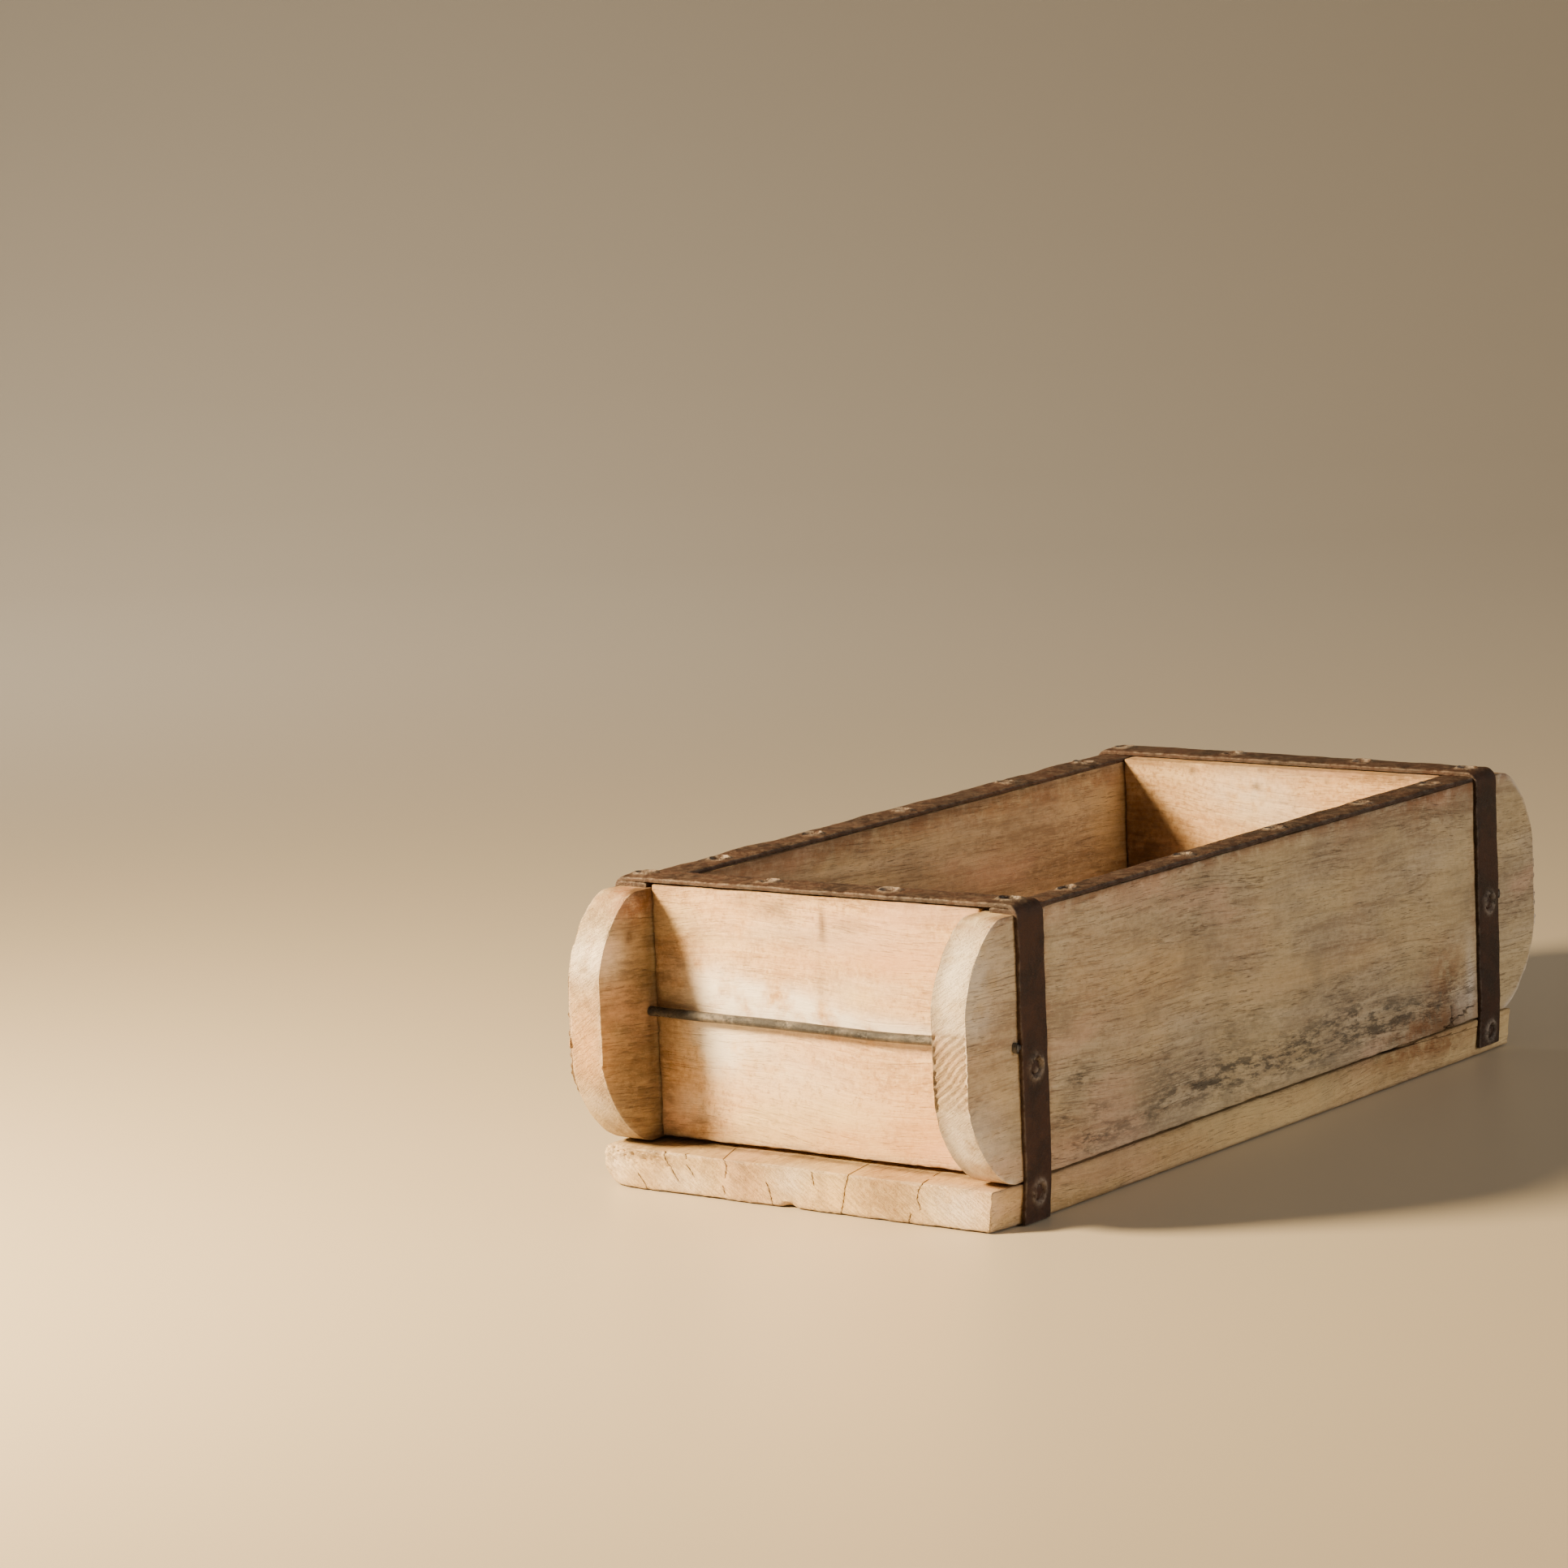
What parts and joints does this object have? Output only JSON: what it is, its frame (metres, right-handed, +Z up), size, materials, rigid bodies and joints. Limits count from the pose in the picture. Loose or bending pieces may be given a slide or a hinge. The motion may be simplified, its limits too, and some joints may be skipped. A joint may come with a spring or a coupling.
{
  "type": "brick mould box",
  "caption": "Long open wooden box with rounded lobe handles at both ends, bound with iron straps, rim strips and tie rods.",
  "frame": {"origin": "middle of the footprint, on the floor that the base board stands on", "axes": "+X along the box to its rear end, +Y across to its left side, +Z up"},
  "size_m": [0.3304, 0.149, 0.095],
  "materials": {
    "bleached_wood": "bare hardwood, sun-bleached and worn, with rust and mould stains",
    "hoop_iron": "old wrought hoop iron, dark brown with rust-red patches",
    "rod_iron": "grey worn iron rod, dusty, with rusty ends",
    "nail_iron": "hammered iron nails, dark brown, bright on the worn edges"
  },
  "bodies": {
    "root": {"base_board": "bleached_wood", "left_side_board": "bleached_wood", "right_side_board": "bleached_wood", "front_end_board": "bleached_wood", "rear_end_board": "bleached_wood", "front_end_strap": "hoop_iron", "rear_end_strap": "hoop_iron", "left_rim_strip": "hoop_iron", "right_rim_strip": "hoop_iron", "front_tie_rod": "rod_iron", "rear_tie_rod": "rod_iron", "front_strap_nails": "nail_iron", "rear_strap_nails": "nail_iron", "left_rim_nails": "nail_iron", "right_rim_nails": "nail_iron", "front_leg_nails": "nail_iron", "rear_leg_nails": "nail_iron", "front_corner_nails": "nail_iron", "rear_corner_nails": "nail_iron", "left_base_nails": "nail_iron", "right_base_nails": "nail_iron", "front_base_nails": "nail_iron", "rear_base_nails": "nail_iron"}
  },
  "joints": []
}
